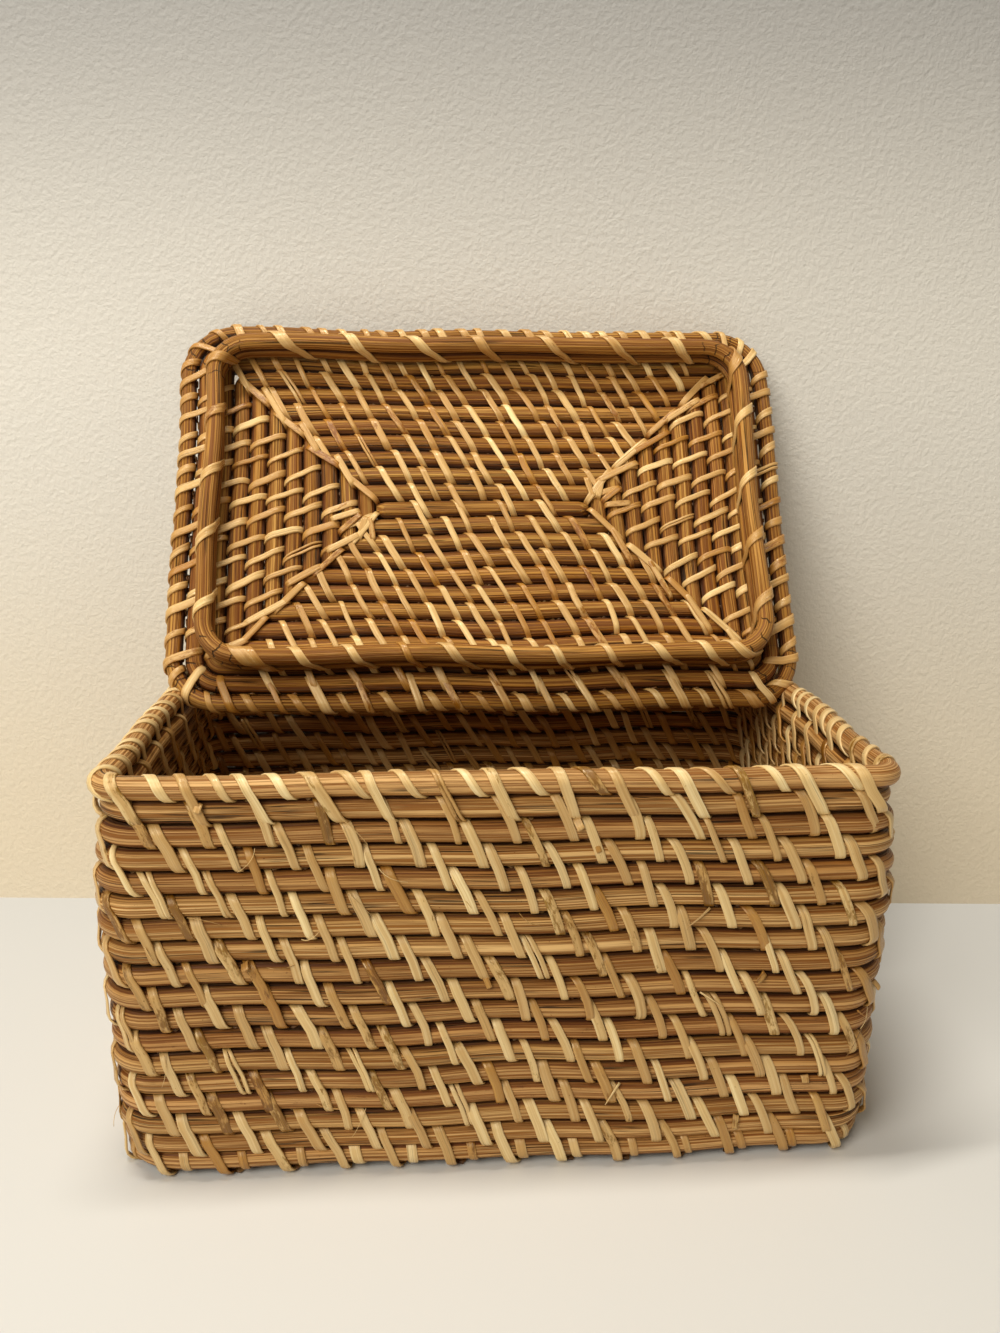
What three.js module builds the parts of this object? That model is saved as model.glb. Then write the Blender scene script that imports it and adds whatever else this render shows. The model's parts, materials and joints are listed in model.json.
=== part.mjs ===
// Woven lidded box of coiled rattan cane, in millimetres.
// The walls are stacked rounds of cane, the base and the lid are flat nests of rounds that close on a
// central cane, and a ring of two canes under the lid drops inside the rim. The lid stands taken off,
// its back edge lying across the two side rims. +X is the width, +Y the back, +Z up, and the origin is
// the middle of the underside.
import * as THREE from "three";

// Driving sizes, in millimetres and degrees
const BOX_WIDTH = 248;
const BOX_DEPTH = 170;
const BOX_HEIGHT = 134;
const WALL_TAPER = 2;
const CANE_DIAMETER = 6.6;
const LEAST_GAP = 0.5;
const WALL_CORNER_RADIUS = 15;
const RIM_CORNER_RADIUS = 12;
const TIGHTEST_CORNER_SHARE = 1.05;

const LID_SETBACK = 2;
const LID_CANE_DIAMETER = 6.4;
const LID_CORNER_RADIUS = 22;
const RING_CORNER_RADIUS = 17;
const RING_ROUND = 3;
const RING_CANES = 2;
const LID_LEAN = 30.9;
const LID_SEAT_DEPTH = 101;

const BINDING_WIDTH = 3.1;
const BINDING_SPACING = 18;
const BINDING_GAP_SHARE = 0.5;
const LID_BINDING_THICKNESS = 0.4;
const TURNING_CLEARANCE = 0.08;
const NEXT_ROUND_CLEARANCE = 0.18;
const SEAT_GAP = 0.4;

// How finely the rounds are faceted
const SIDES = 8;
const CORNER_STEPS = 3;
const SEAT_SAMPLES = 180;
const SEAT_HALVINGS = 40;

// A regular octagon: its corner radius over its half width, and its flat over its full width
const CORNER_OVER_FLAT = 1 / Math.cos(Math.PI / SIDES);
const FLAT_SHARE = Math.tan(Math.PI / SIDES);

// Evenly spaced rounds: as many as fit with the least gap between the canes
const stepsIn = (length, diameter) => Math.max(1, Math.floor(length / (diameter + LEAST_GAP)));

// Wall sizes, along the centre lines of the canes
const caneRadius = CANE_DIAMETER / 2;
const rimHalfWidth = BOX_WIDTH / 2 - caneRadius;
const rimHalfDepth = BOX_DEPTH / 2 - caneRadius;
const wallSteps = stepsIn(BOX_HEIGHT - CANE_DIAMETER, CANE_DIAMETER);
const rowPitch = (BOX_HEIGHT - CANE_DIAMETER) / wallSteps;
const rimHeight = BOX_HEIGHT - caneRadius;

// Binding strip on the rim, which passes between the rim cane and the row below it
const rimGap = rowPitch - CANE_DIAMETER;
const rimBindingThickness = rimGap * BINDING_GAP_SHARE;
const rimBindingInner = caneRadius + (rimGap - rimBindingThickness) / 2;
const rimBindingOuter = rimBindingInner + rimBindingThickness;

// Lid sizes. The edge cane turns freely inside its binding strip, and the next round clears the strip.
const lidRadius = LID_CANE_DIAMETER / 2;
const lidHalfWidth = BOX_WIDTH / 2 - LID_SETBACK - lidRadius;
const lidHalfDepth = BOX_DEPTH / 2 - LID_SETBACK - lidRadius;
const lidBindingInner = lidRadius * CORNER_OVER_FLAT + TURNING_CLEARANCE;
const lidBindingOuter = lidBindingInner + LID_BINDING_THICKNESS;
const edgePitch = lidBindingOuter * CORNER_OVER_FLAT + NEXT_ROUND_CLEARANCE + lidRadius;
const lidSteps = stepsIn(lidHalfDepth - edgePitch, LID_CANE_DIAMETER);
const lidPitch = (lidHalfDepth - edgePitch) / lidSteps;
const ringPitch = lidPitch;

// Where the lid's back edge lies at rest and when the lid is on the box
const lean = THREE.MathUtils.degToRad(LID_LEAN);
const lidTurn = Math.PI / 2 + lean;
const restBack = LID_SEAT_DEPTH - BOX_DEPTH / 2;
const restHeight = rimHeight + seatRise();

// Height of the leaning lid's back edge above the rim cane, with its corners SEAT_GAP off the side rims
function seatRise() {
  const bend = LID_CORNER_RADIUS - lidRadius;
  const reach = lidRadius + caneRadius + SEAT_GAP;
  const clears = (rise) => {
    for (let i = 0; i <= SEAT_SAMPLES; i += 1) {
      const turn = (Math.PI / 2) * (i / SEAT_SAMPLES);
      const across = rimHalfWidth - lidHalfWidth + bend * (1 - Math.sin(turn));
      const up = rise + bend * (1 - Math.cos(turn)) * Math.cos(lean);
      if (Math.hypot(across, up) < reach) {
        return false;
      }
    }
    return true;
  };
  let low = -bend;
  let high = reach;
  for (let i = 0; i < SEAT_HALVINGS; i += 1) {
    const middle = (low + high) / 2;
    if (clears(middle)) {
      high = middle;
    } else {
      low = middle;
    }
  }
  return high;
}

// Colours of the peeled cane, the darker lid cane and the pale glossy binding strip
const makeCaneMaterial = () => new THREE.MeshStandardMaterial({ color: 0xb08a60, roughness: 0.62, metalness: 0 });
const makeLidMaterial = () => new THREE.MeshStandardMaterial({ color: 0xa9763f, roughness: 0.6, metalness: 0 });
const makeStripMaterial = () => new THREE.MeshStandardMaterial({ color: 0xcda671, roughness: 0.42, metalness: 0 });

// Outline of a rectangle with rounded corners, or with sharp ones at a radius of 0, anticlockwise
function roundedOutline(halfWidth, halfDepth, radius) {
  const corners = [[1, 1], [-1, 1], [-1, -1], [1, -1]];
  const steps = radius > 0 ? CORNER_STEPS : 0;
  return corners.flatMap(([signX, signY], quarter) =>
    Array.from({ length: steps + 1 }, (_, i) => {
      const angle = (Math.PI / 2) * (quarter + i / CORNER_STEPS);
      return new THREE.Vector2(
        signX * (halfWidth - radius) + radius * Math.cos(angle),
        signY * (halfDepth - radius) + radius * Math.sin(angle),
      );
    }),
  );
}

// The corner radius of the next round in: concentric as far as the cane can bend, then a sharp mitre
function nextCorner(cornerRadius, pitch, diameter) {
  const tightest = diameter * TIGHTEST_CORNER_SHARE;
  return cornerRadius > tightest ? Math.max(cornerRadius - pitch, tightest) : 0;
}

// One closed round of cane with an octagonal section, flat at the top and bottom, centred on z = 0
function roundGeometry({ halfWidth, halfDepth, cornerRadius, diameter }) {
  const flat = diameter * FLAT_SHARE;
  const bevel = (diameter - flat) / 2;
  const bend = cornerRadius - diameter / 2;
  const outlineAt = (offset) => {
    const radius = cornerRadius > 0 ? bend + offset : 0;
    return roundedOutline(halfWidth + offset, halfDepth + offset, radius);
  };
  const ring = new THREE.Shape(outlineAt(flat / 2));
  ring.holes.push(new THREE.Path(outlineAt(-flat / 2).reverse()));
  const geometry = new THREE.ExtrudeGeometry(ring, {
    depth: flat,
    bevelEnabled: true,
    bevelThickness: bevel,
    bevelSize: bevel,
    bevelSegments: 1,
  });
  return geometry.translate(0, 0, -flat / 2);
}

// A straight length of cane along X
function straightGeometry(length, diameter) {
  const corner = (diameter / 2) * CORNER_OVER_FLAT;
  return new THREE.CylinderGeometry(corner, corner, length, SIDES)
    .rotateY(Math.PI / SIDES)
    .rotateZ(Math.PI / 2);
}

// A flat strip wound round a straight length of cane along X, its faces parallel to the cane's flats
function bindingGeometry(length, inner, outer) {
  const turns = Math.max(1, Math.floor((length - BINDING_WIDTH) / BINDING_SPACING));
  const advance = (length - BINDING_WIDTH) / (turns * SIDES);
  const count = turns * SIDES + 1;
  const positions = [];
  for (let i = 0; i < count; i += 1) {
    const angle = ((2 * Math.PI) / SIDES) * (i + 0.5);
    const along = -length / 2 + BINDING_WIDTH / 2 + i * advance;
    for (const [side, flat] of [[-1, inner], [1, inner], [1, outer], [-1, outer]]) {
      const radius = flat * CORNER_OVER_FLAT;
      positions.push(along + (side * BINDING_WIDTH) / 2, radius * Math.cos(angle), radius * Math.sin(angle));
    }
  }
  const index = [0, 2, 1, 0, 3, 2];
  for (let i = 0; i < count - 1; i += 1) {
    for (let j = 0; j < 4; j += 1) {
      const a = i * 4 + j;
      const b = i * 4 + ((j + 1) % 4);
      index.push(a, b, b + 4, a, b + 4, a + 4);
    }
  }
  const end = (count - 1) * 4;
  index.push(end, end + 1, end + 2, end, end + 2, end + 3);
  const geometry = new THREE.BufferGeometry();
  geometry.setAttribute("position", new THREE.Float32BufferAttribute(positions, 3));
  geometry.setIndex(index);
  geometry.computeVertexNormals();
  return geometry;
}

function addMesh(parent, name, geometry, material) {
  const mesh = new THREE.Mesh(geometry, material);
  mesh.name = name;
  parent.add(mesh);
  return mesh;
}

const numbered = (stem, number) => `${stem}_${String(number).padStart(2, "0")}`;

// The strips on the four straight sides of a round
const SIDE_NAMES = ["front", "right", "back", "left"];

function addBindings(parent, stem, size, inner, outer, sides) {
  sides.forEach((side) => {
    const quarter = SIDE_NAMES.indexOf(side);
    const alongX = quarter % 2 === 0;
    const run = 2 * ((alongX ? size.halfWidth : size.halfDepth) - size.cornerRadius);
    const away = alongX ? size.halfDepth : size.halfWidth;
    const strip = addMesh(parent, `${stem}_${side}`, bindingGeometry(run, inner, outer), makeStripMaterial());
    const angle = (Math.PI / 2) * quarter;
    strip.position.set(away * Math.sin(angle), -away * Math.cos(angle), 0);
    strip.rotation.z = angle;
  });
}

// Walls: the bottom row is also the outer round of the base
function buildWalls() {
  const walls = new THREE.Group();
  for (let row = 0; row <= wallSteps; row += 1) {
    const drawnIn = WALL_TAPER * (1 - row / wallSteps);
    const isRim = row === wallSteps;
    const size = {
      halfWidth: rimHalfWidth - drawnIn,
      halfDepth: rimHalfDepth - drawnIn,
      cornerRadius: isRim ? RIM_CORNER_RADIUS : WALL_CORNER_RADIUS,
      diameter: CANE_DIAMETER,
    };
    const name = isRim ? "rim_cane" : numbered("wall_row", row + 1);
    const round = addMesh(walls, name, roundGeometry(size), makeCaneMaterial());
    round.position.z = caneRadius + row * rowPitch;
  }
  return walls;
}

function buildRimBindings() {
  const bindings = new THREE.Group();
  bindings.position.z = rimHeight;
  const size = { halfWidth: rimHalfWidth, halfDepth: rimHalfDepth, cornerRadius: WALL_CORNER_RADIUS };
  addBindings(bindings, "rim_binding", size, rimBindingInner, rimBindingOuter, SIDE_NAMES);
  return bindings;
}

// A flat nest of rounds closing on a straight central cane, all centred on z = 0
function buildNest(parent, names, outer, pitch, count, makeMaterial) {
  let cornerRadius = outer.cornerRadius;
  for (let i = 0; i < count; i += 1) {
    const size = {
      halfWidth: outer.halfWidth - i * pitch,
      halfDepth: outer.halfDepth - i * pitch,
      cornerRadius,
      diameter: outer.diameter,
    };
    cornerRadius = nextCorner(cornerRadius, pitch, outer.diameter);
    addMesh(parent, numbered(names.round, names.first + i), roundGeometry(size), makeMaterial());
  }
  const innerHalfWidth = outer.halfWidth - (count - 1) * pitch;
  const length = 2 * (innerHalfWidth - pitch + outer.diameter / 2);
  addMesh(parent, names.centre, straightGeometry(length, outer.diameter), makeMaterial());
}

function buildBase() {
  const base = new THREE.Group();
  base.position.z = caneRadius;
  const halfWidth = rimHalfWidth - WALL_TAPER;
  const halfDepth = rimHalfDepth - WALL_TAPER;
  const steps = stepsIn(halfDepth, CANE_DIAMETER);
  const pitch = halfDepth / steps;
  const outer = {
    halfWidth: halfWidth - pitch,
    halfDepth: halfDepth - pitch,
    cornerRadius: nextCorner(WALL_CORNER_RADIUS, pitch, CANE_DIAMETER),
    diameter: CANE_DIAMETER,
  };
  const names = { round: "base_round", first: 1, centre: "base_centre_cane" };
  buildNest(base, names, outer, pitch, steps - 1, makeCaneMaterial);
  return base;
}

// The lid about its back edge cane: -Y runs to its front edge and -Z is its underside when it is on
function buildLid() {
  const lid = new THREE.Group();
  lid.position.set(0, restBack, restHeight);
  lid.rotation.x = -lidTurn;
  const plate = new THREE.Group();
  plate.position.y = -lidHalfDepth;
  lid.add(plate);
  const edge = {
    halfWidth: lidHalfWidth,
    halfDepth: lidHalfDepth,
    cornerRadius: LID_CORNER_RADIUS,
    diameter: LID_CANE_DIAMETER,
  };
  addMesh(plate, "lid_edge_cane", roundGeometry(edge), makeLidMaterial());
  const second = {
    halfWidth: lidHalfWidth - edgePitch,
    halfDepth: lidHalfDepth - edgePitch,
    cornerRadius: nextCorner(LID_CORNER_RADIUS, edgePitch, LID_CANE_DIAMETER),
    diameter: LID_CANE_DIAMETER,
  };
  const names = { round: "lid_round", first: 2, centre: "lid_centre_cane" };
  buildNest(plate, names, second, lidPitch, lidSteps, makeLidMaterial);
  const inset = edgePitch + (RING_ROUND - 2) * lidPitch;
  for (let i = 1; i <= RING_CANES; i += 1) {
    const size = {
      halfWidth: lidHalfWidth - inset,
      halfDepth: lidHalfDepth - inset,
      cornerRadius: RING_CORNER_RADIUS,
      diameter: LID_CANE_DIAMETER,
    };
    const cane = addMesh(plate, numbered("locating_ring_cane", i), roundGeometry(size), makeLidMaterial());
    cane.position.z = -i * ringPitch;
  }
  addBindings(plate, "lid_binding", edge, lidBindingInner, lidBindingOuter, ["front", "right", "left"]);
  return lid;
}

// The strip on the lid's back edge, which the edge cane turns inside, so it keeps level with the box
function buildBackBinding() {
  const holder = new THREE.Group();
  holder.position.set(0, restBack - lidHalfDepth, restHeight);
  const edge = { halfWidth: lidHalfWidth, halfDepth: lidHalfDepth, cornerRadius: LID_CORNER_RADIUS };
  addBindings(holder, "lid_binding", edge, lidBindingInner, lidBindingOuter, ["back"]);
  return holder;
}

const box = new THREE.Group();
box.name = "woven_lidded_box";
box.add(buildWalls(), buildRimBindings(), buildBase(), buildLid(), buildBackBinding());

export default box;
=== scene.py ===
import json
import math

import bpy
import numpy as np
from mathutils import Matrix, Vector


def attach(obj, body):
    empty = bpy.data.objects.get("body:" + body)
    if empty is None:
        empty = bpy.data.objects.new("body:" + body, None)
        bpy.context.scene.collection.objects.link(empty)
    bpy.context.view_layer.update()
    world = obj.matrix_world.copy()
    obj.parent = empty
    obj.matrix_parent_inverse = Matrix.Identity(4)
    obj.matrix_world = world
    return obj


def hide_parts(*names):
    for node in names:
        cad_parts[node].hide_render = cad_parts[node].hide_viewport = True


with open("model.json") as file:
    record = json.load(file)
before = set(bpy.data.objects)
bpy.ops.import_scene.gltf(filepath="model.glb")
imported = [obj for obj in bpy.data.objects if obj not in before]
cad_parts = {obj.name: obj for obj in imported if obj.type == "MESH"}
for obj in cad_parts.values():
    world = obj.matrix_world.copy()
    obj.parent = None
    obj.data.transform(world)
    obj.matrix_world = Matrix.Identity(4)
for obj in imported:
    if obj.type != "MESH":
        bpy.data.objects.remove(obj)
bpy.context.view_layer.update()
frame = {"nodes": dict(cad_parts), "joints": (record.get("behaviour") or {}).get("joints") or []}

# A box of coiled rattan cane. Every round of cane is a tube swept along the centre line of its CAD solid,
# and every lashing is a flat strip of peel laid over one or two canes. Lengths are in metres.
MM = 0.001
rng = np.random.default_rng(23)

# Camera
CAMERA_AT = (-21.7 * MM, -390.2 * MM, 240.4 * MM)
CAMERA_TURN = math.radians(-3.72)
CAMERA_TILT = math.radians(13.61)
CAMERA_ROLL = math.radians(-0.37)
CAMERA_LENS = 29.9
CAMERA_SENSOR = 36.0

# Canes: how finely the tubes are made, how uneven they are, and how pale, from 0 to 1
TUBE_SIDES = 16
TUBE_ANGLES = 2 * math.pi * np.arange(TUBE_SIDES) / TUBE_SIDES
TUBE_SPACING = 3.5 * MM
BEND_STEPS = 8
WALL_CANE_FILL = 0.97
CANE_UNEVEN = 0.02
CANE_WAVE = 45 * MM
TONE_UNEVEN = 0.12
TONE_WAVE = 8 * CANE_WAVE
CANE_TONES = {"wall": (0.1, 0.9), "base": (0.2, 0.7), "lid": (0.1, 0.9)}
LID_EDGE_TONE = 0.1
# The locating ring's canes are darker than the lid's other canes, as painted shade
RING_CANE_TONE = 0.36
CENTRE_CANE_TONE = 0.5
CENTRE_CANE_TINT = 0.4
CENTRE_CANE_END = 0.8
# How narrow the painted shade is where canes touch
CONTACT_SHADE_SHARPNESS = 3.0
GRAIN_OFFSET = 9
FOOT_GAP = 0.5 * MM

# Reading the solids: points this near lie in one plane, and no bend is divided by nothing
SAME_PLACE = 0.01 * MM
NEARLY_NOTHING = 1e-9

# Lashing strips, and how much hand work varies them
STRIP_WIDTH = 2.9 * MM
STRIP_THICKNESS = 0.62 * MM
STRIP_WIDTH_SPREAD = 0.12
STRIP_THICKNESS_SPREAD = 0.12
STRIP_TONE_SPREAD = 0.27
STRIP_TINT_POWER = 1.6
STRIP_TAPER = 0.12
STRIP_TAPER_POWER = 2.5
STRIP_SAG = 0.3 * MM
ARC_STEPS = 5
TUCK_ANGLE = math.radians(102)
# Over how many steps the painted shade fades from a strip's ends
END_SHADE_STEPS = 1.5
STITCH_SPACING = 18.4 * MM
STITCH_JITTER = 0.8 * MM
STITCH_CURVE = 0.6 * MM
WALL_SHIFT = 7.1 * MM
LEAN_SPREAD = 0.13

# Each lashing's strips: the canes that they cross, whether they go right round, their lean from end to
# end, how pale they are, and what else sets them apart
WALL_LEAN = 7.6 * MM
LASHINGS = {
    "wall_outside": {"canes": 2, "lean": WALL_LEAN, "tone": 0.6, "hook": 0.9 * MM},
    # The inside strips have a low tone, painted shade for the inside of the box
    "wall_inside": {"canes": 2, "lean": WALL_LEAN - STITCH_SPACING, "tone": 0.3},
    "rim_long": {"canes": 2, "whole": True, "lean": 18 * MM, "tone": 0.9},
    "rim_short": {"canes": 1, "whole": True, "lean": 17 * MM, "tone": 0.85, "width": 0.95},
    "foot": {"canes": 1, "whole": True, "lean": 5 * MM, "tone": 0.35, "width": 0.95, "split": False},
    "base": {"canes": 2, "tone": 0.4, "width": 0.84},
    "lid": {"canes": 2, "tone": 0.55, "width": 0.84},
    "edge_long": {"canes": 2, "whole": True, "lean": 17 * MM, "tone": 0.5},
    "edge_short": {"canes": 1, "whole": True, "lean": 13 * MM, "tone": 0.5},
    "ring_wide": {"canes": 2, "whole": True, "lean": 27 * MM, "tone": 0.6, "width": 1.35, "taper": 0.75},
    "ring_close": {"canes": 2, "whole": True, "lean": 21.6 * MM, "tone": 0.6, "width": 1.05, "taper": 0.4},
}
RIM_SHORT_PLACE = 0.45
RIM_BARE = 9 * MM
FOOT_WRAP_START = 5 * MM

# Strips that have split in two: how far apart the halves lie and how wide they are, in strip widths,
# and how far the second half's lean and tone differ
SPLIT_SHARE = 0.04
SPLIT_APART = 0.58
SPLIT_WIDTHS = (0.5, 0.45)
SPLIT_LEAN = 0.5 * MM
SPLIT_DARKER = 0.1

# The lid's and the base's stitches: long sides lean more than short sides, and each round's stitches are
# shifted against those of the round outside it
ALL_SIDES = (0, 1, 2, 3)
LONG_SIDES = (0, 2)
NEST_SPACING = 17.0 * MM
NEST_LEANS = (10.2 * MM, 8.4 * MM)
NEST_SHIFTS = (12.2 * MM, -7.2 * MM)
NEST_MARGIN = 0.7

# Strips laid end over end along the lines where the flat rounds bend sharply. They take turns on the two
# sides of the line, and each side has its own slant.
MITRE_LENGTH = 22 * MM
MITRE_LENGTH_SHARES = (0.8, 1.05)
MITRE_WIDTHS = (0.8, 1.0)
MITRE_SLANTS = (-0.04, 0.26)
MITRE_SLANT_SPREAD = 0.05
MITRE_DRIFTS = (-0.9 * MM, 1.0 * MM)
MITRE_DRIFT_SPREAD = 0.3 * MM
MITRE_ENDS = (2 * MM, 6 * MM)

# Strips that fan out from the ends of the lid's middle cane, turned by these many degrees
FAN_TURNS = (10, 42, 70, 100)
FAN_TURN_SPREAD = 4
FAN_LENGTH = 13 * MM
FAN_LENGTH_SHARES = (0.85, 1.1)
FAN_WIDTH = 0.85
FAN_START = 3 * MM
FAN_INSET = 1.0 * MM

# How mitre and fan strips lie: flat on the canes, one end over the strip before, and both ends diving in
# between the canes. Height and depth are in cane radii, and the dive's start and length in strip lengths.
FLAT_STEPS = 13
FLAT_HEIGHT = 1.02
FLAT_OVERLAP = 0.5 * MM
FLAT_TAPER = 0.3
FLAT_TONE = 0.5
FLAT_TONE_SPREAD = 0.25
DIVE_DEPTH = 0.9
DIVE_START = 0.37
DIVE_LENGTH = 0.13

# The locating ring stands farther out than its solids at its sides and front. Its lashings are wide and
# far apart, and closer together on the back.
RING_WIDER = 2.3 * MM
RING_FARTHER = 3 * MM
RING_SPACING = 27 * MM
RING_CLOSE_SPACING = 19 * MM

# Loose ends on the outside of the walls: fine fibres, torn slivers and cut ends. Each stands out in an
# arch from its root, which lies in the gap between two rows, slopes down and curls sideways.
LOOSE_ENDS = (
    {
        "count": 40, "length": 8 * MM, "width": 0.26 * MM, "thickness": 0.14 * MM, "stand": 1.9 * MM,
        "arch": 2.2, "curl": 2.6 * MM, "taper": 0.6, "slope": 0.6, "tone": 0.9, "gap": 0.9,
    },
    {
        "count": 34, "length": 6.5 * MM, "width": 0.8 * MM, "thickness": 0.3 * MM, "stand": 1.5 * MM,
        "arch": 1.7, "curl": 0.9 * MM, "taper": 0.8, "slope": 0.7, "tone": 0.6, "gap": 0.85,
    },
    {
        "count": 30, "length": 2.8 * MM, "width": 2.1 * MM, "thickness": 0.6 * MM, "stand": 1.9 * MM,
        "arch": 1.5, "curl": 0.3 * MM, "taper": 0.1, "slope": 1.2, "tone": 0.35, "gap": 0.7,
    },
)
LOOSE_STEPS = 8
LOOSE_STANDS = (0.5, 1.3)
LOOSE_LENGTHS = (0.6, 1.4)
LOOSE_WIDTHS = (0.7, 1.3)
LOOSE_DEPTHS = (0.6, 1.0)
LOOSE_TONE_SPREAD = 0.2
LOOSE_SLOPE_SPREAD = 0.5
LOWEST_LOOSE_ROW = 2

# Hand-made unevenness of the whole box
WAVE_SEEDS = {"box": 3, "lid": 8}
BEND_WAVES = 6
BEND_SIDEWAYS = 0.4 * MM
BEND_UPRIGHT = {"box": 0.38 * MM, "lid": 0.22 * MM}
BEND_LONGEST = 170 * MM
BEND_SHORTEST = 60 * MM
LEVEL_HEIGHT = 25 * MM
ROW_STEP = 0.3 * MM

# Room for the lashings where the closed lid sits on the rim
LID_RAISED = 0.5 * MM
RIM_PRESSED = 0.3 * MM

# How far the rim and the rows under it are drawn in at each end, from the rim down
TOP_DRAWN_IN = (3.0 * MM, 3.8 * MM, 2.6 * MM, 1.5 * MM, 0.6 * MM)

# The bottom rows, from the floor up: extra corner radius, how far their sides are drawn in, and how far
# they are lifted. The base's outer rounds take the radii from the second one on.
FOOT_ROUNDER = (5 * MM, 3 * MM, 1 * MM)
FOOT_DRAWN_IN = (0.4 * MM, 0.2 * MM, 0.0)
FOOT_LIFT = (1.7 * MM, 1.2 * MM, 0.8 * MM, 0.5 * MM, 0.2 * MM)


def srgb(red, green, blue):
    """Linear colour from 8-bit values as they look on screen."""
    def linear(value):
        share = value / 255
        return share / 12.92 if share <= 0.04045 else ((share + 0.055) / 1.055) ** 2.4
    return (linear(red), linear(green), linear(blue), 1.0)


def add_object(name, data):
    made = bpy.data.objects.new(name, data)
    bpy.context.scene.collection.objects.link(made)
    return made


def add_camera():
    data = bpy.data.cameras.new("camera")
    data.sensor_fit = "VERTICAL"
    data.sensor_height = CAMERA_SENSOR
    data.lens = CAMERA_LENS
    camera = add_object("camera", data)
    aim = Matrix.Rotation(CAMERA_TURN, 4, "Z") @ Matrix.Rotation(-CAMERA_TILT, 4, "X")
    level = Matrix.Rotation(CAMERA_ROLL, 4, "Y") @ Matrix.Rotation(math.pi / 2, 4, "X")
    camera.matrix_world = Matrix.Translation(CAMERA_AT) @ aim @ level
    bpy.context.scene.camera = camera


# Floor, and a backdrop with a colour at its foot, middle and top: pale and warm at the foot, darker and
# grey at the top, which is painted light and shade
FLOOR_COLOUR = srgb(217, 217, 213)
FLOOR_ROUGHNESS = 0.6
WALL_COLOUR = srgb(230, 218, 194)
WALL_MIDDLE_COLOUR = srgb(227, 224, 215)
WALL_TOP_COLOUR = srgb(154, 154, 153)
WALL_HEIGHTS = (0.02, 0.24, 0.45)
WALL_GAP = 112 * MM
PLASTER_ROUGHNESS = 0.9
PLASTER_GRIT = ((460, 460, 460), 3.0, 0.6)
PLASTER_BUMP = {"Strength": 0.5, "Distance": 0.9 * MM}
STAGE_REACH = 2.0

# Soft light from all round, and two lamps. The key lamp hangs high above the front rim. It is long across
# the box and narrow from front to back, which keeps the shadow in front of the box short. The fill lamp
# is broad and stands in front of the box, to its left.
SKY_COLOUR = srgb(255, 240, 218)
SKY_STRENGTH = 0.19
LAMP_TARGET = (0, 0, 0.1)
LAMPS = {
    "key": {
        "place": (-0.20, -0.065, 1.30), "size": (0.06, 0.6), "power": 10.7,
        "colour": (1.0, 0.95, 0.87),
    },
    "fill": {
        "place": (-0.72, -0.98, 1.02), "size": (0.9, 0.9), "power": 15.0,
        "colour": (1.0, 0.945, 0.865),
    },
}

# Noises in the rattan: changes per metre along and across the fibres, detail and roughness, and for a
# mask the values that become 0 and 1
FINE_LINES = ((9, 1500, 1500), 3.0, 0.7, 0.4, 0.6)
BROAD_BANDS = ((5, 560, 560), 2.0, 0.5, 0.37, 0.63)
CRACK_RIDGES = ((7, 700, 700), 2.0, 0.5)
CRACK_PATCHES = ((25, 160, 160), 1.0, 0.5, 0.5, 0.6)
BREAK_WAVER = ((60, 160, 160), 2.0, 0.6)
BREAK_PATCHES = ((90, 260, 260), 1.0, 0.5, 0.42, 0.5)
STAIN_PATCHES = ((160, 420, 420), 4.0, 0.75)
SPECK_SPOTS = ((900, 1100, 1100), 2.0, 0.6, 0.7, 0.8)

# Cracks run along the fibres. Breaks cross them, evenly spaced but wavering, where a cane is bent.
CRACK_EDGES = (0.006, 0.022)
BREAK_SPACING = 6.5 * MM
BREAK_WAVER_TURN = 4.0
BREAK_EDGES = (0.06, 0.22)

# Relief of the bands and cracks beside that of the fine lines, and how much rougher a line is
BAND_RELIEF = 0.4
CRACK_RELIEF = 2.0
LINE_ROUGHNESS = 0.12

# Stains show where their noise is above a limit, which the amount of stain lowers
STAIN_LIMIT = 0.72
STAIN_LOWERED = 0.5
STAIN_EDGE = 0.14
STAIN_TINT_POWER = 2.0
SPECK_SHARE = 0.9
# How quickly the painted shade between neighbours turns dark
SHADE_DARK_POWER = 1.5
SHINE_COLOUR = (1.0, 0.89, 0.69, 1.0)
WHITE = (1, 1, 1, 1)

# Kinds of sockets that the node groups have
NUMBER = "NodeSocketFloat"
POSITION = "NodeSocketVector"
COLOUR = "NodeSocketColor"


# Shader helpers

def add_node(tree, kind, **values):
    """A shader node with its settings, and its input values or links by socket name or number."""
    node = tree.nodes.new(kind)
    inputs = values.pop("inputs", {})
    for name, value in values.items():
        setattr(node, name, value)
    for name, value in inputs.items():
        socket = node.inputs[name]
        if isinstance(value, bpy.types.NodeSocket):
            tree.links.new(value, socket)
        else:
            socket.default_value = value
    return node


def new_group(name, inputs, outputs):
    """An empty node group with named sockets: {name: (kind, default)} in and {name: kind} out."""
    group = bpy.data.node_groups.new(name, "ShaderNodeTree")
    for label, (kind, default) in inputs.items():
        socket = group.interface.new_socket(label, in_out="INPUT", socket_type=kind)
        socket.default_value = default
    for label, kind in outputs.items():
        group.interface.new_socket(label, in_out="OUTPUT", socket_type=kind)
    entry = group.nodes.new("NodeGroupInput")
    leave = group.nodes.new("NodeGroupOutput")
    return group, entry.outputs, leave.inputs


def scaled_noise(tree, vector, scale, detail, roughness):
    """Noise stretched by a scale along each axis of the vector."""
    stretched = add_node(tree, "ShaderNodeVectorMath", operation="MULTIPLY", inputs={0: vector, 1: scale})
    noise = add_node(
        tree, "ShaderNodeTexNoise",
        inputs={"Vector": stretched.outputs[0], "Scale": 1.0, "Detail": detail, "Roughness": roughness},
    )
    return noise.outputs["Fac"]


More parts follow.
